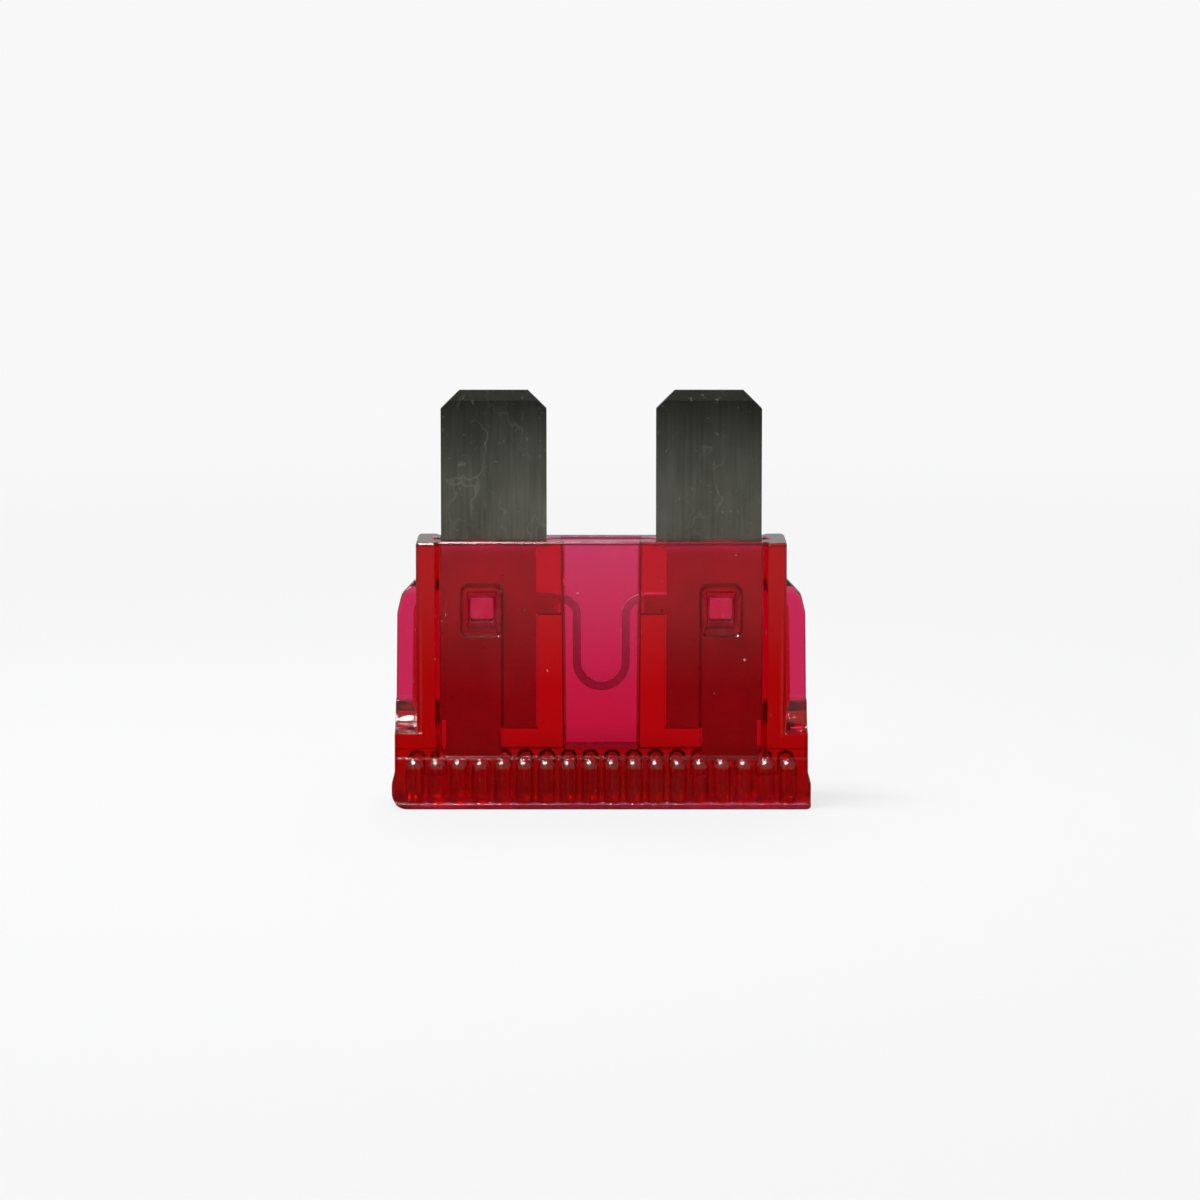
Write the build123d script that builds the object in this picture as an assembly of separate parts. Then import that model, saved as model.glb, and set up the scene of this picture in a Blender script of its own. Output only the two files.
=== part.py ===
"""Regular-size automotive blade fuse: a see-through moulded housing staked onto one stamped metal strip.

Frame, in millimetres: +Z runs along the blades, away from the housing, X across the width and Y through the
thickness. The origin is the middle of the housing's flat head face, on which the fuse stands.
Both halves of the strip are mirror images about X = 0, and the front and back of the housing are mirror images
about Y = 0.
"""

import os

from build123d import *

# ---- Stamped strip: two blades, their shanks inside the housing, and the fusible link between them
strip_thickness = 0.65
blade_pitch = 9.82  # middle of one blade to the middle of the other
blade_width = 4.82
blade_length = 6.8  # bare length, beyond the housing
tip_corner = 0.85  # how far each corner of a blade's tip is cut back
tip_bevel_length = 0.46
tip_land = 0.3  # thickness left at the very tip
shoulder_width = 0.48  # the shank's inner edge is this much narrower than the blade's
shoulder_depth = 0.35  # how far the full blade width reaches into the housing's mouth
shank_end_z = 3.5
tab_width = 2.5  # the test tab that reaches on from the shank towards the head
tab_outer_step = 0.2
tab_step_z = 3.85
tab_end_z = 2.05
stake_hole_offset = 0.55  # outwards from the middle of the blade
stake_hole_width = 1.5
stake_hole_height = 1.6
stake_z = 8.95
hole_corner = 0.2

# ---- Fusible link
link_width = 0.37
link_thickness = 0.3
link_top_z = 9.37
link_top_radius = 0.75
link_bottom_z = 5.35  # middle of the ribbon at the bottom of the U
bridge_height = 0.88
bridge_length = 1.02  # how far the thick bridge reaches in from the shank, through the rib
bridge_drop = 0.18  # the bridge's middle lies this far below the link's

# ---- Housing
housing_height = 12.15
side_wall = 0.905  # the body's wall outside each slot
body_depth_at_head = 4.3
body_depth_at_end = 3.9
body_corner = 0.25
end_edge = 0.08  # bevel around the body's end face
panel_depth_at_head = 3.4  # over the two sunken faces
panel_depth_at_end = 2.9
panel_margin = 0.04  # how far the sunken face reaches past the blade's outer edge
panel_side_slope = 0.45  # outward run of the panel's side walls for each unit of depth
head_width = 19.1  # over the lip
head_depth = 5.1
head_height = 2.3
head_edge = 0.08  # bevel along the front and back of the head face
lip_height = 1.15
lip_step = 0.14
lip_ramp = 0.3
lip_corner_left = 0.7
lip_corner_right = 0.2
rim_height = 0.25  # plain band below the grip ridges
ridge_count = 18
ridge_pitch = 1.0
ridge_radius = 0.42
ridge_depth = 0.28  # crest over valley
ridge_inset = 0.03  # the crest lies this far inside the rim's face, and the dome below the ledge
fin_thickness = 1.1
fin_top_z = 10.35
fin_slope_run = 0.72
fin_slope_drop = 0.78
fin_bend_radius = 0.9
fin_draft = 0.08
fin_edge = 0.12
fin_lead_in_z = 9.72  # above this the fin tapers, to guide it into a holder
fin_lead_in_land = 0.45  # thickness left at the very top
fin_root_gusset = 0.24
fin_root_top_z = 9.0
shoulder_block_depth = 4.3
shoulder_block_z = 3.45  # its full depth ends here, and the ramp up to the fin begins
shoulder_ramp_z = 4.75

# ---- Hollows of the housing
slot_clearance = 0.035  # between the strip's face and the slot's wall
slot_gap_inner = 0.1  # between the shank's inner edge and the rib
slot_gap_outer = 0.2
slot_gap_below = 0.05
bridge_gap = 0.05
rib_width = 1.03
mouth_flare = 0.2
mouth_side_gap = 0.06
chamber_depth_at_end = 2.0
chamber_depth_at_floor = 1.8
chamber_draft = 0.08  # how much narrower each side of the chamber is at its floor
chamber_floor_z = 2.55
chamber_corner = 0.2
link_side_gap = 0.73  # from the chamber's side to the middle of the link's leg
test_hole_depth = 1.0
test_hole_gap = 0.05  # the test hole is this much narrower than the tab at each side
test_pocket_width = 4.15
test_pocket_height = 1.35
test_pocket_shift = 0.23  # outwards from the middle of the tab
test_flare = 0.15

# ---- Stakes: the punch marks that push the walls into the strip's two holes
punch_width = 1.85
punch_height = 2.3
punch_floor_width = 1.08
punch_floor_height = 1.12
punch_floor_thickness = 0.68
punch_corner = 0.35
punch_floor_corner = 0.15
boss_gap = 0.12  # around the boss, in the strip's hole
boss_reach = 0.2  # how far the boss goes into the hole

# ---- Places that follow from the sizes above
blade_inner_x = (blade_pitch - blade_width) / 2
blade_outer_x = (blade_pitch + blade_width) / 2
shank_inner_x = blade_inner_x + shoulder_width
shoulder_z = housing_height - shoulder_depth
tip_z = housing_height + blade_length
tab_outer_x = blade_outer_x - tab_outer_step
tab_inner_x = tab_outer_x - tab_width
stake_x = blade_pitch / 2 + stake_hole_offset
bridge_inner_x = shank_inner_x - bridge_length
bridge_mid_z = link_top_z - bridge_drop
slot_half = strip_thickness / 2 + slot_clearance
slot_inner_x = shank_inner_x - slot_gap_inner
slot_outer_x = blade_outer_x + slot_gap_outer
chamber_half_width = slot_inner_x - rib_width
link_leg_spacing = 2 * (chamber_half_width - link_side_gap)
body_width = 2 * (slot_outer_x + side_wall)
panel_half_width = blade_outer_x + panel_margin
shoulder_half_width = head_width / 2 - lip_step
past = 1.0  # how far a cutting shape runs past the face that it cuts


def both_sides(shape):
    """The shape and its mirror image about X = 0."""
    return shape + mirror(shape, about=Plane.YZ)


def front_and_back(shape):
    """The shape and its mirror image about Y = 0."""
    return shape + mirror(shape, about=Plane.XZ)


def plate(points, thickness):
    """An XZ outline made into a plate of the given thickness, centred on Y = 0."""
    return extrude(Plane.XZ * Polygon(*points, align=None), thickness / 2, both=True)


def block(x_low, x_high, half_depth, z_low, z_high):
    """A box centred on Y = 0."""
    return Pos((x_low + x_high) / 2, 0, (z_low + z_high) / 2) * Box(
        x_high - x_low, 2 * half_depth, z_high - z_low
    )


def wedge(thickness, land, bevel_z, top_z):
    """A thick sheet across the whole width that thins from a height up to its top edge, on both faces."""
    section = Polygon(
        (-thickness / 2, 0),
        (thickness / 2, 0),
        (thickness / 2, bevel_z),
        (land / 2, top_z),
        (-land / 2, top_z),
        (-thickness / 2, bevel_z),
        align=None,
    )
    return extrude(Plane.YZ * section, head_width, both=True)


def tapered_block(low, high, z_low, z_high, corner, middle_x=0.0):
    """A block whose rounded rectangle changes between two heights. Low and high are (width, depth)."""
    return loft(
        [
            Pos(middle_x, 0, z_low) * RectangleRounded(*low, corner),
            Pos(middle_x, 0, z_high) * RectangleRounded(*high, corner),
        ]
    )


def panel_depth(z):
    """The housing's depth over its two sunken panels at a height."""
    share = (z - head_height) / (housing_height - head_height)
    return panel_depth_at_head + share * (panel_depth_at_end - panel_depth_at_head)


# ---------------------------------------------------------------- strip
def blade_half():
    """One blade with its shank, test tab and bridge, on the +X side."""
    bridge_low = bridge_mid_z - bridge_height / 2
    bridge_high = bridge_mid_z + bridge_height / 2
    outline = [
        (blade_inner_x, shoulder_z),
        (blade_inner_x, tip_z - tip_corner),
        (blade_inner_x + tip_corner, tip_z),
        (blade_outer_x - tip_corner, tip_z),
        (blade_outer_x, tip_z - tip_corner),
        (blade_outer_x, tab_step_z),
        (tab_outer_x, tab_step_z),
        (tab_outer_x, tab_end_z),
        (tab_inner_x, tab_end_z),
        (tab_inner_x, shank_end_z),
        (shank_inner_x, shank_end_z),
        (shank_inner_x, bridge_low),
        (bridge_inner_x, bridge_low),
        (bridge_inner_x, bridge_high),
        (shank_inner_x, bridge_high),
        (shank_inner_x, shoulder_z),
    ]
    hole = extrude(
        Plane.XZ * Pos(stake_x, stake_z) * RectangleRounded(stake_hole_width, stake_hole_height, hole_corner),
        strip_thickness,
        both=True,
    )
    bevelled_sheet = wedge(strip_thickness, tip_land, tip_z - tip_bevel_length, tip_z)
    return (plate(outline, strip_thickness) - hole) & bevelled_sheet


def link():
    """The thin ribbon that melts: in from one bridge, down, round the U, up and out to the other bridge."""
    leg_x = link_leg_spacing / 2
    arc_x = leg_x + link_top_radius
    leg_top_z = link_top_z - link_top_radius
    leg_low_z = link_bottom_z + leg_x
    half_turn = Plane.XZ * (
        Line((bridge_inner_x + link_width, link_top_z), (arc_x, link_top_z))
        + CenterArc((arc_x, leg_top_z), link_top_radius, 90, 90)
        + Line((leg_x, leg_top_z), (leg_x, leg_low_z))
        + CenterArc((0, leg_low_z), leg_x, 0, -90)
    )
    path = Wire(half_turn.edges() + mirror(half_turn, about=Plane.YZ).edges())
    start = Plane(
        origin=(bridge_inner_x + link_width, 0, link_top_z), x_dir=(0, 1, 0), z_dir=(-1, 0, 0)
    )
    return sweep(start * Rectangle(link_thickness, link_width), path=path)


def fuse_strip():
    """The whole stamping, one solid."""
    return both_sides(blade_half()) + link()


# ---------------------------------------------------------------- housing
def head():
    """The grip end: a block with a lip near its face, a plain rim and a row of round ridges on both faces."""
    lip_x, side_x = head_width / 2, shoulder_half_width
    profile = Polygon(
        (-lip_x, 0),
        (lip_x, 0),
        (lip_x, lip_height),
        (side_x, lip_height + lip_ramp),
        (side_x, head_height),
        (-side_x, head_height),
        (-side_x, lip_height + lip_ramp),
        (-lip_x, lip_height),
        align=None,
    )
    corners = profile.vertices().group_by(Axis.Y)[0].sort_by(Axis.X)
    profile = fillet(corners[0], lip_corner_left)
    corners = profile.vertices().group_by(Axis.Y)[0].sort_by(Axis.X)
    profile = fillet(corners[-1], lip_corner_right)
    valley_half = head_depth / 2 - ridge_inset - ridge_depth
    core = extrude(Plane.XZ * profile, valley_half, both=True)
    rim = extrude(Plane.XZ * profile, head_depth / 2, both=True)
    rim = rim & block(-head_width, head_width, head_depth, 0, rim_height)
    foot = rim.edges().filter_by(Axis.X).group_by(Axis.Z)[0]
    return core + chamfer(foot, head_edge) + grip_ridges()


def grip_ridges():
    """Upright half-round ridges with domed tops, on the front and the back."""
    middle_y = head_depth / 2 - ridge_inset - ridge_radius
    dome_z = head_height - ridge_inset - ridge_radius
    ridge = Pos(0, 0, rim_height / 2) * Cylinder(
        ridge_radius, dome_z - rim_height / 2, align=(Align.CENTER, Align.CENTER, Align.MIN)
    )
    ridge = ridge + Pos(0, 0, dome_z) * Sphere(ridge_radius)
    first_x = -ridge_pitch * (ridge_count - 1) / 2
    return [
        Pos(first_x + i * ridge_pitch, side * middle_y, 0) * ridge
        for i in range(ridge_count)
        for side in (-1, 1)
    ]


def body():
    """The block around the blades, with its front and back sunken between two full-depth columns."""
    low_z = head_height / 2
    solid = tapered_block(
        (body_width, body_depth_at_head),
        (body_width, body_depth_at_end),
        low_z,
        housing_height,
        body_corner,
    )
    reach = head_depth / 2
    sections = []
    for z in (head_height, housing_height + past):
        face = panel_depth(z) / 2
        spread = panel_half_width + panel_side_slope * (reach - face)
        trapezoid = Polygon(
            (-panel_half_width, face), (panel_half_width, face), (spread, reach), (-spread, reach), align=None
        )
        sections.append(Pos(0, 0, z) * trapezoid)
    solid -= front_and_back(loft(sections))
    return chamfer(solid.faces().sort_by(Axis.Z)[-1].outer_wire().edges(), end_edge)


def fin():
    """The thin wing beside the body on the +X side, its sloped top and the thick shoulder under it."""
    edge_x = shoulder_half_width
    root_x = body_width / 2 - body_corner
    slope_x = body_width / 2 + fin_slope_run
    outline = Polygon(
        (root_x, head_height / 2),
        (edge_x, head_height / 2),
        (edge_x, head_height),
        (edge_x - fin_draft, fin_top_z - 2 * fin_slope_drop),
        (slope_x, fin_top_z - fin_slope_drop),
        (body_width / 2, fin_top_z),
        (root_x, fin_top_z),
        align=None,
    )
    bends = [v for v in outline.vertices() if v.Y > shoulder_ramp_z and v.X > body_width / 2 + fin_draft]
    wing = extrude(Plane.XZ * fillet(bends, fin_bend_radius / 2), fin_thickness / 2, both=True)
    rims = wing.edges().filter_by(lambda e: e.center().X > body_width / 2 + fin_draft)
    wing = fillet(rims.filter_by(lambda e: abs(abs(e.center().Y) - fin_thickness / 2) < 1e-6), fin_edge)
    wing &= wedge(fin_thickness, fin_lead_in_land, fin_lead_in_z, fin_top_z)
    return wing + shoulder_block() + fin_root()


def shoulder_block():
    """The thick foot of the fin: full depth at the head, with a hollow ramp up to the fin's faces."""
    wing_half, full_half = fin_thickness / 2, shoulder_block_depth / 2
    ramp_mid = (
        wing_half + 0.3 * (full_half - wing_half),
        shoulder_block_z + 0.35 * (shoulder_ramp_z - shoulder_block_z),
    )
    side = (
        Line((0, head_height / 2), (full_half, head_height / 2))
        + Line((full_half, head_height / 2), (full_half, shoulder_block_z))
        + ThreePointArc((full_half, shoulder_block_z), ramp_mid, (wing_half, shoulder_ramp_z))
        + Line((wing_half, shoulder_ramp_z), (0, shoulder_ramp_z))
        + Line((0, shoulder_ramp_z), (0, head_height / 2))
    )
    root_x = body_width / 2 - body_corner
    half = extrude(
        Plane.YZ.offset(root_x) * make_face(side), shoulder_half_width - root_x
    )
    return front_and_back(half)


def fin_root():
    """The small sloped gusset along each side of the fin's root, which fades out upwards."""
    root_x, wing_half = body_width / 2 - body_corner, fin_thickness / 2
    sections = []
    for z, size in ((head_height, fin_root_gusset), (fin_root_top_z, fin_root_gusset / 2)):
        reach = body_width / 2 + size
        triangle = Polygon(
            (root_x, 0),
            (reach, 0),
            (reach, wing_half),
            (body_width / 2, wing_half + size),
            (root_x, wing_half + size),
            align=None,
        )
        sections.append(Pos(0, 0, z) * triangle)
    return front_and_back(loft(sections))


def strip_slot():
    """The hollow that one half of the strip slides into on the +X side, open at the housing's end face."""
    bridge_floor_z = bridge_mid_z - bridge_height / 2 - bridge_gap
    top_z = housing_height + past
    slot = block(slot_inner_x, slot_outer_x, slot_half, shank_end_z - slot_gap_below, top_z)
    tab_pocket = block(
        tab_inner_x - slot_gap_inner, slot_outer_x, slot_half, tab_end_z - slot_gap_below, shank_end_z
    )
    bridge_slot = block(0, slot_inner_x + slot_clearance, slot_half, bridge_floor_z, top_z)
    mouth_low_x = blade_inner_x - mouth_side_gap
    mouth_width = slot_outer_x - mouth_low_x
    mouth = loft(
        [
            Pos((mouth_low_x + slot_outer_x) / 2, 0, shoulder_z)
            * Rectangle(mouth_width, 2 * slot_half),
            Pos((mouth_low_x + slot_outer_x) / 2, 0, housing_height)
            * Rectangle(mouth_width + 2 * mouth_flare, 2 * (slot_half + mouth_flare)),
        ]
    )
    return slot + tab_pocket + bridge_slot + mouth


def test_hole():
    """The probe opening in the head, on the +X side: a wide pocket, then a shaft up to the test tab."""
    middle_x = (tab_inner_x + tab_outer_x) / 2
    shaft_half = tab_width / 2 - test_hole_gap
    shaft = block(middle_x - shaft_half, middle_x + shaft_half, test_hole_depth / 2, 0, tab_end_z)
    pocket_x = middle_x + test_pocket_shift
    pocket_half = test_pocket_width / 2
    pocket = block(pocket_x - pocket_half, pocket_x + pocket_half, test_hole_depth / 2, 0, test_pocket_height)
    mouth = Rectangle(test_pocket_width + 2 * test_flare, test_hole_depth + 2 * test_flare)
    throat = Rectangle(test_pocket_width, test_hole_depth)
    return shaft + pocket + loft([Pos(pocket_x, 0, 0) * mouth, Pos(pocket_x, 0, test_flare) * throat])


def chamber():
    """The hollow behind the window, around the link, with draft towards its floor."""
    return tapered_block(
        (2 * (chamber_half_width - chamber_draft), chamber_depth_at_floor),
        (2 * chamber_half_width, chamber_depth_at_end),
        chamber_floor_z,
        housing_height,
        chamber_corner,
    )


def punch_mark():
    """The sunken truncated pyramid that a stake leaves in the front face, on the +X side."""
    face_y = panel_depth(stake_z - punch_height / 2) / 2
    floor_y = strip_thickness / 2 - boss_reach + punch_floor_thickness
    wide_x = punch_width + (punch_width - punch_floor_width) * past / (face_y - floor_y)
    wide_z = punch_height + (punch_height - punch_floor_height) * past / (face_y - floor_y)
    outer = RectangleRounded(wide_x, wide_z, punch_corner)
    inner = RectangleRounded(punch_floor_width, punch_floor_height, punch_floor_corner)
    place = Pos(stake_x, stake_z)
    return loft([Plane.XZ.offset(face_y + past) * place * outer, Plane.XZ.offset(floor_y) * place * inner])


def stake_boss():
    """The wall's material that a stake has pushed into the strip's hole from the front, on the +X side."""
    tip_y = strip_thickness / 2 - boss_reach
    shape = RectangleRounded(
        stake_hole_width - 2 * boss_gap, stake_hole_height - 2 * boss_gap, hole_corner
    )
    return extrude(Plane.XZ.offset(tip_y) * Pos(stake_x, stake_z) * shape, slot_half + slot_clearance - tip_y)


def housing():
    """The whole moulding, one solid."""
    solid = head() + body() + both_sides(fin())
    solid -= both_sides(strip_slot() + test_hole()) + chamber()
    solid += both_sides(front_and_back(stake_boss()))
    return solid - both_sides(front_and_back(punch_mark()))


def main():
    """Builds both pieces and writes one STEP file for each."""
    os.makedirs("parts", exist_ok=True)
    export_step(housing(), "parts/housing.step")
    export_step(fuse_strip(), "parts/fuse_strip.step")


main()
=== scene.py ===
"""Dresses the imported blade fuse: a see-through red moulding staked onto a dull zinc strip, in a pale studio.

Everything is in metres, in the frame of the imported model: +Z runs along the blades, X across the width and Y
through the thickness, with the fuse standing on the flat face of its head.
"""

from __future__ import annotations

import logging
import math
from dataclasses import dataclass, field
from enum import Enum
from typing import Union

import bmesh
import bpy
from mathutils import Matrix, Vector

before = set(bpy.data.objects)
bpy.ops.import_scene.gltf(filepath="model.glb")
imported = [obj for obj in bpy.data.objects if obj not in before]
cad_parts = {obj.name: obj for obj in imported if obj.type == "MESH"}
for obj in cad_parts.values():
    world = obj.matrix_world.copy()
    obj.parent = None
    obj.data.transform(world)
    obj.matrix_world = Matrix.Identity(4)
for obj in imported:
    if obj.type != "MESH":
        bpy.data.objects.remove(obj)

Socket = bpy.types.NodeSocket
Triple = tuple[float, float, float]
Paint = tuple[float, float, float, float]
Span = tuple[float, float]
Level = Union[float, Socket]
Place = Union[Triple, Vector, Socket]
MM = 0.001
LOG = logging.getLogger("blade_fuse")
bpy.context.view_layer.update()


class Piece(Enum):
    """The CAD nodes of the fuse."""

    HOUSING = "housing"
    STRIP = "fuse_strip"


class Ray(Enum):
    """The kinds of ray that the studio answers to, by their outputs on the Light Path node."""

    CAMERA = "Is Camera Ray"
    GLOSSY = "Is Glossy Ray"
    TRANSMISSION = "Is Transmission Ray"


@dataclass(frozen=True)
class Pattern:
    """A noise pattern on Object coordinates, and how a part of its range is spread out.

    Attributes:
        scale: Repeats in each metre.
        detail: Octaves of finer noise.
        stretch: How many times denser the pattern is along each axis.
        reach: The part of the noise that is spread out.
        levels: What the two ends of that part become.
    """

    scale: float
    detail: float
    stretch: Triple = (1.0, 1.0, 1.0)
    reach: Span = (0.0, 1.0)
    levels: Span = (0.0, 1.0)


class NodeTree:
    """A short way to write a node tree."""

    def __init__(self, tree: bpy.types.NodeTree) -> None:
        """Takes over a tree and empties it.

        Args:
            tree: The tree of a material or of the world.
        """
        self.tree = tree
        tree.nodes.clear()

    def add(self, kind: str, **settings: object) -> bpy.types.Node:
        """Adds a node.

        Args:
            kind: The node's type, without "ShaderNode".
            **settings: Its attributes, and the values of its inputs by their names with spaces as underscores.

        Returns:
            The new node.
        """
        node = self.tree.nodes.new("ShaderNode" + kind)
        for name, value in settings.items():
            if hasattr(node, name):
                setattr(node, name, value)
            else:
                node.inputs[name.replace("_", " ")].default_value = value
        return node

    def feed(self, end: Socket, value: Union[Level, Place, Paint]) -> None:
        """Joins an output to an input, or sets the input's own value.

        Args:
            end: The input.
            value: The output, or the value.
        """
        if isinstance(value, bpy.types.NodeSocket):
            self.tree.links.new(value, end)
        else:
            end.default_value = value

    def math(self, operation: str, *values: Level) -> Socket:
        """Adds a Math node.

        Args:
            operation: The node's operation.
            *values: Numbers or outputs, in the order of its inputs.

        Returns:
            Its output.
        """
        node = self.add("Math", operation=operation)
        for end, value in zip(node.inputs, values):
            self.feed(end, value)
        return node.outputs[0]

    def vector(self, operation: str, *values: Place, output: str = "Vector") -> Socket:
        """Adds a Vector Math node.

        Args:
            operation: The node's operation.
            *values: Vectors or outputs, in the order of its inputs.
            output: The name of the output that is wanted.

        Returns:
            That output.
        """
        node = self.add("VectorMath", operation=operation)
        for end, value in zip(node.inputs, values):
            self.feed(end, value)
        return node.outputs[output]

    def scaled(self, colour: Triple, share: Socket) -> Socket:
        """Makes a colour darker or brighter by a pattern.

        Args:
            colour: The colour.
            share: How much of it there is.

        Returns:
            The scaled colour.
        """
        node = self.add("VectorMath", operation="SCALE")
        self.feed(node.inputs[0], colour)
        self.feed(node.inputs["Scale"], share)
        return node.outputs["Vector"]

    def axes(self) -> tuple[Socket, Socket, Socket]:
        """Reads where each point of the piece is.

        Returns:
            Its X, Y and Z.
        """
        node = self.add("SeparateXYZ")
        self.feed(node.inputs[0], self.add("TexCoord").outputs["Object"])
        return node.outputs["X"], node.outputs["Y"], node.outputs["Z"]

    def noise(self, pattern: Pattern) -> Socket:
        """Adds a pattern's noise, before it is spread out.

        Args:
            pattern: The pattern.

        Returns:
            The noise, from 0 to 1.
        """
        turn = self.add("Mapping", Scale=pattern.stretch)
        self.feed(turn.inputs["Vector"], self.add("TexCoord").outputs["Object"])
        noise = self.add("TexNoise", Scale=pattern.scale, Detail=pattern.detail)
        self.feed(noise.inputs["Vector"], turn.outputs["Vector"])
        return noise.outputs["Fac"]

    def spread(self, value: Socket, low: float, high: float, to_low: float, to_high: float) -> Socket:
        """Maps a range of a value to another range, and holds it there.

        Args:
            value: The output to map.
            low: The range's start.
            high: The range's end.
            to_low: What the start becomes.
            to_high: What the end becomes.

        Returns:
            The mapped output.
        """
        node = self.add("MapRange", From_Min=low, From_Max=high, To_Min=to_low, To_Max=to_high)
        self.feed(node.inputs["Value"], value)
        return node.outputs["Result"]

    def mottle(self, pattern: Pattern) -> Socket:
        """A pattern's noise, spread out."""
        return self.spread(self.noise(pattern), *pattern.reach, *pattern.levels)

    def band(self, value: Socket, middle: float, half: float, soft: float) -> Socket:
        """Makes a stripe that is 1 within a half width of a middle and falls to 0 over a soft edge.

        Args:
            value: The output that the stripe lies along.
            middle: The stripe's middle.
            half: Its half width.
            soft: The width of each soft edge.

        Returns:
            The stripe.
        """
        away = self.math("ABSOLUTE", self.math("SUBTRACT", value, middle))
        return self.spread(away, half, half + soft, 1.0, 0.0)

    def blend(self, share: Socket, first: Union[Paint, Socket], second: Union[Paint, Socket]) -> Socket:
        """Mixes two colours.

        Args:
            share: How much of the second there is.
            first: The first colour or output.
            second: The second colour or output.

        Returns:
            The mixed colour.
        """
        node = self.add("Mix", data_type="RGBA")
        self.feed(node.inputs["Factor"], share)
        ends = [end for end in node.inputs if end.type == "RGBA"]
        for end, value in zip(ends, (first, second)):
            self.feed(end, value)
        return next(end for end in node.outputs if end.type == "RGBA")

    def layer(self, share: Level, under: Socket, over: Socket) -> Socket:
        """Mixes two shaders.

        Args:
            share: How much of the upper one shows.
            under: The lower shader.
            over: The upper shader.

        Returns:
            The mixed shader.
        """
        node = self.add("MixShader")
        for end, value in zip(node.inputs, (share, under, over)):
            self.feed(end, value)
        return node.outputs[0]


def new_material(name: str) -> tuple[bpy.types.Material, NodeTree, bpy.types.Node]:
    """Makes an empty material.

    Args:
        name: The material's name.

    Returns:
        The material, its tree and its output node.
    """
    material = bpy.data.materials.new(name)
    material.use_nodes = True
    tree = NodeTree(material.node_tree)
    return material, tree, tree.add("OutputMaterial")


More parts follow.
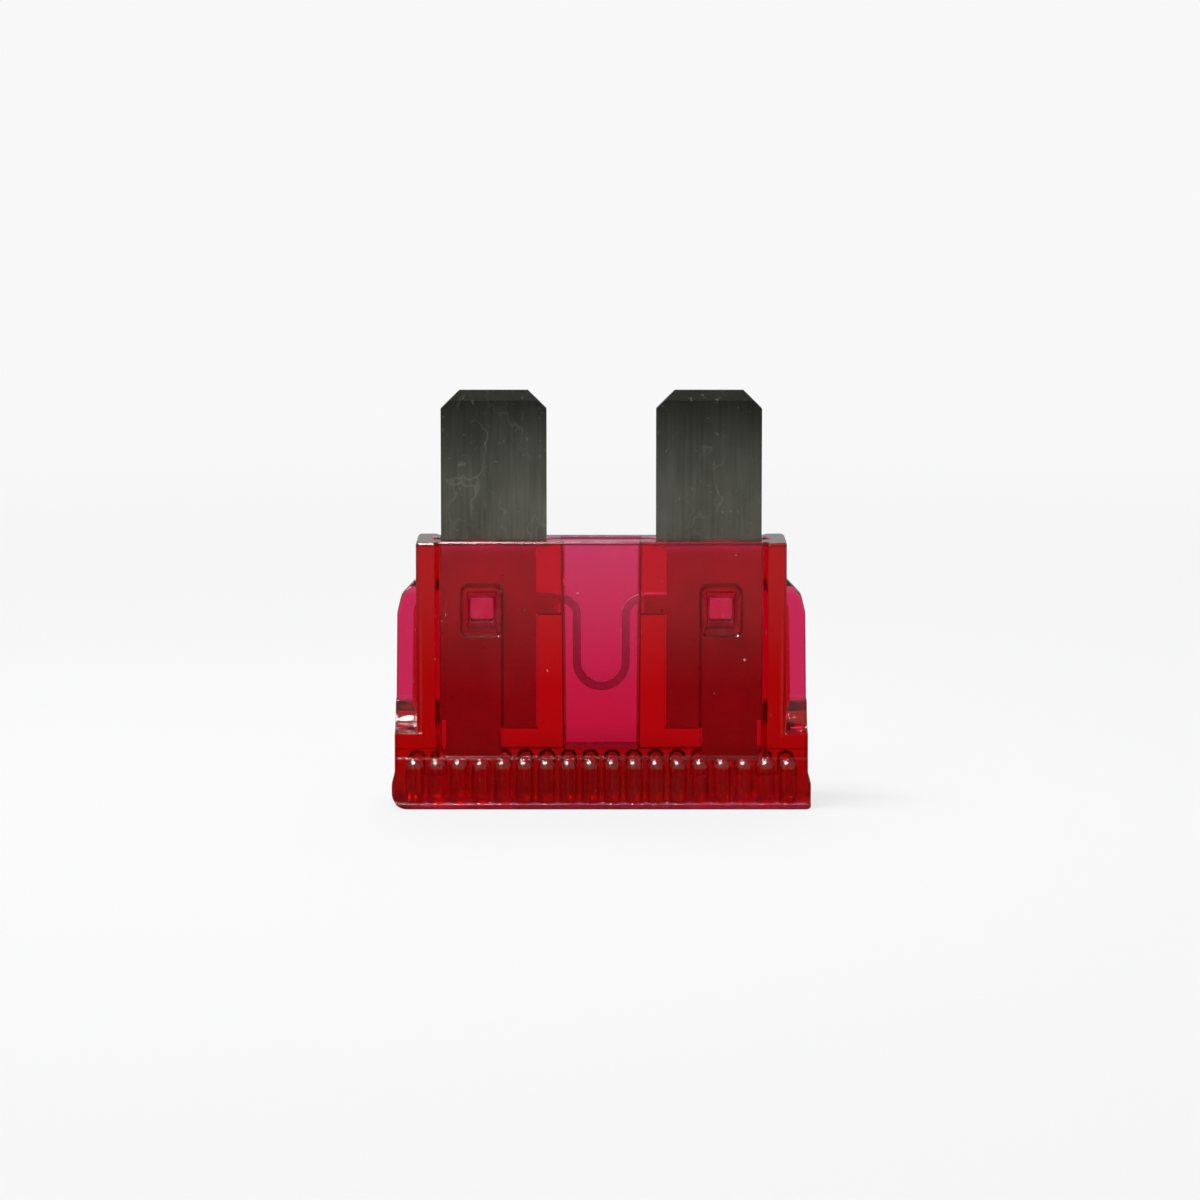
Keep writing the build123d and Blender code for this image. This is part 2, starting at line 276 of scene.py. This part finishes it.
@dataclass(frozen=True)
class ClearRedPlastic:
    """See-through moulded plastic, magenta where it is thin and deep red where it is thick."""

    name: str = "clear_red_plastic"
    refraction: float = 1.58
    absorbed_each_mm: Triple = (0.12, 3.0, 1.75)
    density_room: float = 1.05
    clear_tint: Paint = (1.0, 0.97, 0.98, 1.0)
    # painted shade: the colour of the dark lines under the end face and around each stake's mouth
    painted_shade_tint: Paint = (0.2, 0.14, 0.14, 1.0)
    haze: float = 0.015
    haze_through: float = 0.5
    haze_colour: Paint = (0.62, 0.012, 0.03, 1.0)
    dust_colour: Paint = (0.8, 0.55, 0.55, 1.0)
    dust: Pattern = Pattern(4200.0, 1.0, reach=(0.77, 0.82), levels=(0.0, 0.45))
    smudges: Pattern = Pattern(420.0, 3.0, reach=(0.45, 0.75), levels=(0.02, 0.12))
    flow_lines: Pattern = Pattern(2600.0, 2.0, (1.0, 1.0, 0.04))
    flow_share: float = 0.25
    ripples: Pattern = Pattern(700.0, 2.0, (1.0, 1.0, 0.6))
    ripple_strength: float = 0.08
    ripple_depth: float = 0.02 * MM
    edge_radius: float = 0.09 * MM
    edge_samples: int = 4
    # where the painted shade line under the end face lies
    end_shade_line_z: float = 12.02 * MM
    end_shade_line_half: float = 0.024 * MM
    end_shade_line_soft: float = 0.036 * MM
    grip_z: Span = (1.4 * MM, 1.9 * MM)
    grip_rough: float = 0.14
    shoulder_x: Span = (8.4 * MM, 8.6 * MM)
    shoulder_z: float = 4.15 * MM
    shoulder_half: float = 0.65 * MM
    shoulder_soft: float = 0.2 * MM
    shoulder_waves: Pattern = Pattern(1500.0, 1.0, (1.0, 0.4, 1.6))
    shoulder_share: float = 18.0
    stake_x: float = 5.46 * MM
    stake_z: float = 8.95 * MM
    stake_half_width: float = 0.925 * MM
    stake_half_height: float = 1.15 * MM
    stake_corner: float = 0.35 * MM
    # how dark the painted shade line around each stake's mouth is, and its width
    stake_shade_line_strength: float = 0.85
    stake_shade_line_half: float = 0.03 * MM
    stake_shade_line_soft: float = 0.05 * MM
    stake_haze: float = 0.035
    stake_haze_edge: Span = (-0.06 * MM, -0.02 * MM)
    stake_clouds: Pattern = Pattern(1600.0, 2.0, reach=(0.4, 0.65), levels=(0.4, 1.3))

    def absorption(self) -> tuple[float, Paint]:
        """Works out the density, for each metre, and the colour that give the plastic's absorption.

        Returns:
            The density and the colour.
        """
        density = self.density_room * max(self.absorbed_each_mm) / MM
        red, green, blue = (1 - each / MM / density for each in self.absorbed_each_mm)
        return density, (red, green, blue, 1.0)

    def from_stake(self, tree: NodeTree, out_x: Socket, z: Socket) -> Socket:
        """Works out how far each point lies outside the nearest stake's mouth, seen along Y.

        Args:
            tree: The material's tree.
            out_x: The distance from the fuse's middle.
            z: The height.

        Returns:
            The distance, which is below 0 inside the mouth.
        """
        place = tree.add("CombineXYZ")
        tree.feed(place.inputs["X"], out_x)
        tree.feed(place.inputs["Z"], z)
        middle = (self.stake_x, 0.0, self.stake_z)
        straight = (self.stake_half_width - self.stake_corner, 0.0, self.stake_half_height - self.stake_corner)
        away = tree.vector("ABSOLUTE", tree.vector("SUBTRACT", place.outputs[0], middle))
        away = tree.vector("MAXIMUM", tree.vector("SUBTRACT", away, straight), (0.0, 0.0, 0.0))
        return tree.math("SUBTRACT", tree.vector("LENGTH", away, output="Value"), self.stake_corner)

    def tint(self, tree: NodeTree, from_stake: Socket, z: Socket) -> Socket:
        """Draws painted shade: dark lines under the end face and around each stake's mouth, in place of the
        darkening that refraction at these edges gives.

        Args:
            tree: The material's tree.
            from_stake: The distance from the nearest stake's mouth.
            z: The height.

        Returns:
            The surface's colour, with the painted shade.
        """
        # painted shade lines under the end face and around each stake's mouth
        painted_end_shade = tree.band(z, self.end_shade_line_z, self.end_shade_line_half, self.end_shade_line_soft)
        around = tree.band(from_stake, 0.0, self.stake_shade_line_half, self.stake_shade_line_soft)
        lines = tree.math("MAXIMUM", painted_end_shade, tree.math("MULTIPLY", around, self.stake_shade_line_strength))
        return tree.blend(lines, self.clear_tint, self.painted_shade_tint)

    def polish(self, tree: NodeTree, z: Socket) -> Socket:
        """Makes the surface polished and smudged, and duller on the grip.

        Args:
            tree: The material's tree.
            z: The height.

        Returns:
            The roughness.
        """
        grip = tree.spread(z, *self.grip_z, self.grip_rough, 0.0)
        return tree.math("ADD", tree.mottle(self.smudges), grip)

    def relief(self, tree: NodeTree, out_x: Socket, z: Socket) -> Socket:
        """Makes softened edges, flow lines and ripples, with wavier shoulders.

        Args:
            tree: The material's tree.
            out_x: The distance from the fuse's middle.
            z: The height.

        Returns:
            The surface's normal.
        """
        flow = tree.noise(self.flow_lines)
        height = tree.math("MULTIPLY_ADD", flow, self.flow_share, tree.noise(self.ripples))
        outer = tree.spread(out_x, *self.shoulder_x, 0.0, 1.0)
        beside = tree.band(z, self.shoulder_z, self.shoulder_half, self.shoulder_soft)
        shoulder = tree.math("MULTIPLY", outer, beside)
        uneven = tree.math("MULTIPLY", shoulder, tree.noise(self.shoulder_waves))
        edges = tree.add("Bevel", samples=self.edge_samples, Radius=self.edge_radius)
        bump = tree.add("Bump", Strength=self.ripple_strength, Distance=self.ripple_depth)
        tree.feed(bump.inputs["Height"], tree.math("MULTIPLY_ADD", uneven, self.shoulder_share, height))
        tree.feed(bump.inputs["Normal"], edges.outputs["Normal"])
        return bump.outputs["Normal"]

    def hazed(self, tree: NodeTree, clear: Socket, from_stake: Socket) -> Socket:
        """Lays haze and dust over the clear plastic, with the stakes a little cloudier.

        Args:
            tree: The material's tree.
            clear: The clear plastic.
            from_stake: The distance from the nearest stake's mouth.

        Returns:
            The finished surface.
        """
        back = tree.add("BsdfDiffuse", Color=self.haze_colour).outputs[0]
        through = tree.add("BsdfTranslucent", Color=self.haze_colour).outputs[0]
        hazy = tree.layer(self.haze, clear, tree.layer(self.haze_through, back, through))
        staked = tree.spread(from_stake, *self.stake_haze_edge, self.stake_haze, 0.0)
        cloudy = tree.mottle(self.stake_clouds)
        share = tree.math("MULTIPLY_ADD", staked, cloudy, tree.mottle(self.dust))
        return tree.layer(share, hazy, tree.add("BsdfDiffuse", Color=self.dust_colour).outputs[0])

    def build(self) -> bpy.types.Material:
        """Makes the material.

        Returns:
            The material.
        """
        material, tree, out = new_material(self.name)
        x, _, z = tree.axes()
        out_x = tree.math("ABSOLUTE", x)
        from_stake = self.from_stake(tree, out_x, z)
        clear = tree.add("BsdfPrincipled", IOR=self.refraction, Transmission_Weight=1.0)
        tree.feed(clear.inputs["Base Color"], self.tint(tree, from_stake, z))
        tree.feed(clear.inputs["Roughness"], self.polish(tree, z))
        tree.feed(clear.inputs["Normal"], self.relief(tree, out_x, z))
        tree.feed(out.inputs["Surface"], self.hazed(tree, clear.outputs[0], from_stake))
        density, colour = self.absorption()
        volume = tree.add("VolumeAbsorption", Density=density, Color=colour)
        tree.feed(out.inputs["Volume"], volume.outputs[0])
        return material


@dataclass(frozen=True)
class DullZinc:
    """Stamped zinc alloy: dull, dark and olive where it is bare, and near white where the housing covers it,
    which is painted light on the metal seen through the plastic.
    """

    name: str = "dull_zinc"
    metallic: float = 0.45
    specular: float = 0.2
    bare: Triple = (0.145, 0.148, 0.117)
    bare_from: float = 12.0 * MM
    bare_soft: float = 0.1 * MM
    tip_shade: float = 0.16
    tip_bevel_z: float = 18.45 * MM
    tip_bevel_soft: float = 0.08 * MM
    # painted shade: how much darker the bevels at the blade tips are drawn
    tip_bevel_painted_shade: float = 0.55
    blotches: Pattern = Pattern(420.0, 5.0, (1.0, 1.0, 0.6), (0.3, 0.7), (0.72, 1.25))
    streaks: Pattern = Pattern(6000.0, 3.0, (1.0, 1.0, 0.05), (0.3, 0.7), (0.86, 1.14))
    rub_path: Pattern = Pattern(520.0, 3.0, (1.0, 1.0, 0.7))
    rub_middle: float = 0.5
    rub_width: Span = (0.004, 0.012)
    rub_level: float = 0.3
    rub_places: Pattern = Pattern(260.0, 2.0, reach=(0.48, 0.62))
    specks: Pattern = Pattern(5200.0, 1.0, reach=(0.7, 0.78), levels=(0.0, 0.35))
    # painted light: the near-white colour given to the zinc seen through the plastic, dimmer lower down
    covered_painted_light: Triple = (0.98, 0.94, 0.94)
    covered_lower_painted_shade: float = 0.8
    covered_painted_light_z: Span = (7.0 * MM, 11.6 * MM)
    clouds: Pattern = Pattern(380.0, 4.0, (1.0, 1.0, 0.6), (0.3, 0.7), (0.88, 1.06))
    score_x: float = 4.53 * MM
    score_half: float = 0.05 * MM
    score_top_z: float = 7.9 * MM
    score_top_soft: float = 0.1 * MM
    # painted shade: how dark the score line's groove is drawn
    score_painted_shade: float = 0.5
    scratches: Pattern = Pattern(9000.0, 3.0, (1.0, 1.0, 0.03), (0.3, 0.7), (0.38, 0.55))
    scratch_strength: float = 0.3
    scratch_depth: float = 0.01 * MM

    def tarnish_and_painted_tip_shade(self, tree: NodeTree, z: Socket) -> Socket:
        """Makes the bare metal darker to the tips, with painted shade on the tips' bevels, and blotched,
        streaked, speckled and rubbed.

        Args:
            tree: The material's tree.
            z: The height.

        Returns:
            The share of the bare colour.
        """
        shade = tree.spread(z, self.bare_from, self.tip_bevel_z, 1.0, self.tip_shade)
        # painted shade on the tips' bevels
        tips = tree.spread(z, self.tip_bevel_z, self.tip_bevel_z + self.tip_bevel_soft, 1.0, self.tip_bevel_painted_shade)
        stained = tree.math("MULTIPLY", tree.mottle(self.blotches), tree.mottle(self.streaks))
        base = tree.math("MULTIPLY", tree.math("MULTIPLY", shade, tips), stained)
        wander = tree.math("ABSOLUTE", tree.math("SUBTRACT", tree.noise(self.rub_path), self.rub_middle))
        rubbed = tree.spread(wander, *self.rub_width, self.rub_level, 0.0)
        where, specks = tree.mottle(self.rub_places), tree.mottle(self.specks)
        return tree.math("ADD", base, tree.math("MULTIPLY_ADD", rubbed, where, specks))

    def painted_light_under_housing(self, tree: NodeTree, x: Socket, z: Socket) -> Socket:
        """Paints light on the covered metal, brighter near the mouth, with a stamped score line up each shank
        drawn as painted shade.

        Args:
            tree: The material's tree.
            x: The place across the width.
            z: The height.

        Returns:
            The share of the covered colour, with its painted light and shade.
        """
        # painted light, brightest near the mouth
        shade = tree.spread(z, *self.covered_painted_light_z, self.covered_lower_painted_shade, 1.0)
        line = tree.band(tree.math("ABSOLUTE", x), self.score_x, self.score_half, self.score_half)
        below = tree.spread(z, self.score_top_z, self.score_top_z + self.score_top_soft, self.score_painted_shade, 0.0)
        # painted shade in the stamped score line
        score = tree.math("SUBTRACT", 1.0, tree.math("MULTIPLY", line, below))
        return tree.math("MULTIPLY", tree.math("MULTIPLY", shade, tree.mottle(self.clouds)), score)

    def build(self) -> bpy.types.Material:
        """Makes the material.

        Returns:
            The material.
        """
        material, tree, out = new_material(self.name)
        x, _, z = tree.axes()
        metal = tree.add("BsdfPrincipled", Metallic=self.metallic, Specular_IOR_Level=self.specular)
        uncovered = tree.spread(z, self.bare_from, self.bare_from + self.bare_soft, 0.0, 1.0)
        covered_painted_light = tree.scaled(self.covered_painted_light, self.painted_light_under_housing(tree, x, z))
        bare = tree.scaled(self.bare, self.tarnish_and_painted_tip_shade(tree, z))
        tree.feed(metal.inputs["Base Color"], tree.blend(uncovered, covered_painted_light, bare))
        scratch = tree.noise(self.scratches)
        roughness = tree.spread(scratch, *self.scratches.reach, *self.scratches.levels)
        tree.feed(metal.inputs["Roughness"], roughness)
        bump = tree.add("Bump", Strength=self.scratch_strength, Distance=self.scratch_depth)
        tree.feed(bump.inputs["Height"], scratch)
        tree.feed(metal.inputs["Normal"], bump.outputs["Normal"])
        tree.feed(out.inputs["Surface"], metal.outputs[0])
        return material


@dataclass
class CadPiece:
    """A piece whose CAD node has the right shape, so that it only needs its finish."""

    node: Piece
    finish: Union[ClearRedPlastic, DullZinc]

    def build(self) -> None:
        """Dresses the node and reports it."""
        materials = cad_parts[self.node.value].data.materials
        materials.clear()
        materials.append(self.finish.build())
        faces = len(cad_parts[self.node.value].data.polygons)
        LOG.info("%s: %d faces in %s", self.node.value, faces, self.finish.name)


@dataclass
class Housing(CadPiece):
    """The see-through moulding."""

    node: Piece = Piece.HOUSING
    finish: ClearRedPlastic = field(default_factory=ClearRedPlastic)


@dataclass
class FuseStrip(CadPiece):
    """The stamped strip: both blades, their shanks and tabs, the bridges and the link."""

    node: Piece = Piece.STRIP
    finish: DullZinc = field(default_factory=DullZinc)


@dataclass(frozen=True)
class Lamp:
    """A rectangular soft lamp that faces the fuse."""

    name: str
    place: Triple
    watts: float
    size: Span
    slant_deg: float = 0.0


@dataclass
class Studio:
    """The pale floor, the white surround, the soft lamps and the camera."""

    white: Paint = (0.939, 0.939, 0.947, 1.0)
    shares: dict[Ray, float] = field(
        default_factory=lambda: {Ray.CAMERA: 1.0, Ray.TRANSMISSION: 0.7, Ray.GLOSSY: 0.5}
    )
    plain_level: float = 0.85
    softbox_toward: Triple = (-0.3, -0.21, 0.93)
    softbox_half_deg: float = 17.0
    softbox_soft: float = 0.01
    softbox_level: float = 22.0
    floor_half: float = 20.0
    floor_paint: Paint = (0.6, 0.6, 0.605, 1.0)
    floor_rough: float = 0.8
    # painted shadow: how dark the floor looks through the plastic close to the fuse, and how far that reaches
    painted_shadow_level: float = 0.4
    painted_shadow_reach: Span = (8.0 * MM, 19.0 * MM)
    # painted shade: how dark the floor looks in the gloss, darkest close to the fuse
    mirror_painted_shade_levels: Span = (0.04, 0.3)
    mirror_painted_shade_reach: Span = (60.0 * MM, 120.0 * MM)
    shadow_share: float = 0.25
    shadow_reach: Span = (30.0 * MM, 160.0 * MM)
    lamps: tuple[Lamp, ...] = (
        Lamp("overhead", (-0.035, -0.012, 0.125), 0.12, (0.05, 0.018), 25.0),
        Lamp("rear_top", (0.01, 0.07, 0.125), 0.03, (0.05, 0.02)),
        Lamp("front_fill", (-0.12, -0.2, 0.16), 0.05, (0.1, 0.1)),
    )
    elevation_deg: float = 7.3
    aim: Triple = (-0.06 * MM, 0.0, 9.3 * MM)
    view_width: float = 54.96 * MM
    lens_mm: float = 150.0
    clip: Span = (0.01, 100.0)

    def world(self) -> None:
        """Makes the surround: white to the eye and through the plastic, with a soft box overhead in its gloss."""
        world = bpy.data.worlds.new("surround")
        bpy.context.scene.world = world
        world.use_nodes = True
        tree = NodeTree(world.node_tree)
        out = tree.add("OutputWorld")
        path = tree.add("LightPath")
        direction = tree.add("TexCoord").outputs["Generated"]
        middle = Vector(self.softbox_toward).normalized()
        near = tree.vector("DOT_PRODUCT", direction, middle, output="Value")
        edge = math.cos(math.radians(self.softbox_half_deg))
        softbox = tree.spread(near, edge - self.softbox_soft, edge, self.shares[Ray.GLOSSY], self.softbox_level)
        level: Level = self.plain_level
        for ray, share in {**self.shares, Ray.GLOSSY: softbox}.items():
            past = tree.math("SUBTRACT", share, self.plain_level)
            level = tree.math("MULTIPLY_ADD", path.outputs[ray.value], past, level)
        light = tree.add("Background", Color=self.white)
        tree.feed(light.inputs["Strength"], level)
        tree.feed(out.inputs["Surface"], light.outputs[0])

    def floor_finish(self) -> bpy.types.Material:
        """Makes the floor's paint, which looks white to the eye, with a painted shadow near the fuse seen through
        the plastic, and a darker painted floor in the gloss, darkest near the fuse.

        Returns:
            The material.
        """
        material, tree, out = new_material("pale_floor")
        paint = tree.add("BsdfPrincipled", Base_Color=self.floor_paint, Roughness=self.floor_rough)
        away = tree.vector("LENGTH", tree.add("TexCoord").outputs["Object"], output="Value")
        path = tree.add("LightPath")
        camera = path.outputs[Ray.CAMERA.value]
        through = path.outputs[Ray.TRANSMISSION.value]
        mirror = path.outputs[Ray.GLOSSY.value]
        seen = tree.spread(away, *self.shadow_reach, 1.0 - self.shadow_share, 1.0)
        # painted shadow near the fuse, seen through the plastic
        through_painted_shadow = tree.spread(away, *self.painted_shadow_reach, self.painted_shadow_level, self.shares[Ray.TRANSMISSION])
        # painted shade of the floor in the gloss
        mirror_painted_shade = tree.spread(away, *self.mirror_painted_shade_reach, *self.mirror_painted_shade_levels)
        unlit = tree.math("MULTIPLY", camera, seen)
        unlit = tree.math("MAXIMUM", unlit, tree.math("MAXIMUM", through, mirror))
        level = tree.math("MAXIMUM", camera, tree.math("MULTIPLY", through, through_painted_shadow))
        level = tree.math("MAXIMUM", level, tree.math("MULTIPLY", mirror, mirror_painted_shade))
        shown = tree.add("Emission", Color=self.white)
        tree.feed(shown.inputs["Strength"], level)
        tree.feed(out.inputs["Surface"], tree.layer(unlit, paint.outputs[0], shown.outputs[0]))
        return material

    def floor(self) -> None:
        """Makes a wide pale floor that keeps the fuse's shadow."""
        bm = bmesh.new()
        bmesh.ops.create_grid(bm, x_segments=1, y_segments=1, size=self.floor_half)
        mesh = bpy.data.meshes.new("floor")
        bm.to_mesh(mesh)
        bm.free()
        mesh.materials.append(self.floor_finish())
        floor = bpy.data.objects.new("floor", mesh)
        bpy.context.scene.collection.objects.link(floor)

    def place(self, name: str, data: bpy.types.ID, point: Vector, slant_deg: float = 0.0) -> bpy.types.Object:
        """Puts a lamp or the camera somewhere, facing the aim.

        Args:
            name: The object's name.
            data: The lamp or camera.
            point: Where it stands.
            slant_deg: How far it is turned about the line to the aim.

        Returns:
            The object.
        """
        thing = bpy.data.objects.new(name, data)
        turn = (point - Vector(self.aim)).to_track_quat("Z", "Y").to_matrix().to_4x4()
        slant = Matrix.Rotation(math.radians(slant_deg), 4, "Z")
        thing.matrix_world = Matrix.Translation(point) @ turn @ slant
        bpy.context.scene.collection.objects.link(thing)
        return thing

    def hang(self, lamp: Lamp) -> None:
        """Makes one lamp.

        Args:
            lamp: The lamp's place, power and size.
        """
        data = bpy.data.lights.new(lamp.name, "AREA")
        data.energy = lamp.watts
        data.shape = "RECTANGLE"
        data.size, data.size_y = lamp.size
        self.place(lamp.name, data, Vector(lamp.place), lamp.slant_deg)

    def camera(self) -> None:
        """Makes the camera: a long lens, a little above the fuse's front."""
        data = bpy.data.cameras.new("camera")
        data.lens = self.lens_mm
        data.clip_start, data.clip_end = self.clip
        distance = self.view_width * data.lens / data.sensor_width
        tilt = math.radians(self.elevation_deg)
        back = Vector((0.0, -math.cos(tilt), math.sin(tilt)))
        point = Vector(self.aim) + distance * back
        bpy.context.scene.camera = self.place("camera", data, point)

    def build(self) -> None:
        """Makes the whole studio and reports it."""
        self.world()
        self.floor()
        for lamp in self.lamps:
            self.hang(lamp)
        self.camera()
        bpy.context.scene.view_settings.view_transform = "Standard"
        LOG.info("studio: %d lamps", len(self.lamps))


def main() -> None:
    """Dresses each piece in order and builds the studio."""
    logging.basicConfig(level=logging.INFO)
    Housing().build()
    FuseStrip().build()
    Studio().build()


if __name__ == "__main__":
    main()
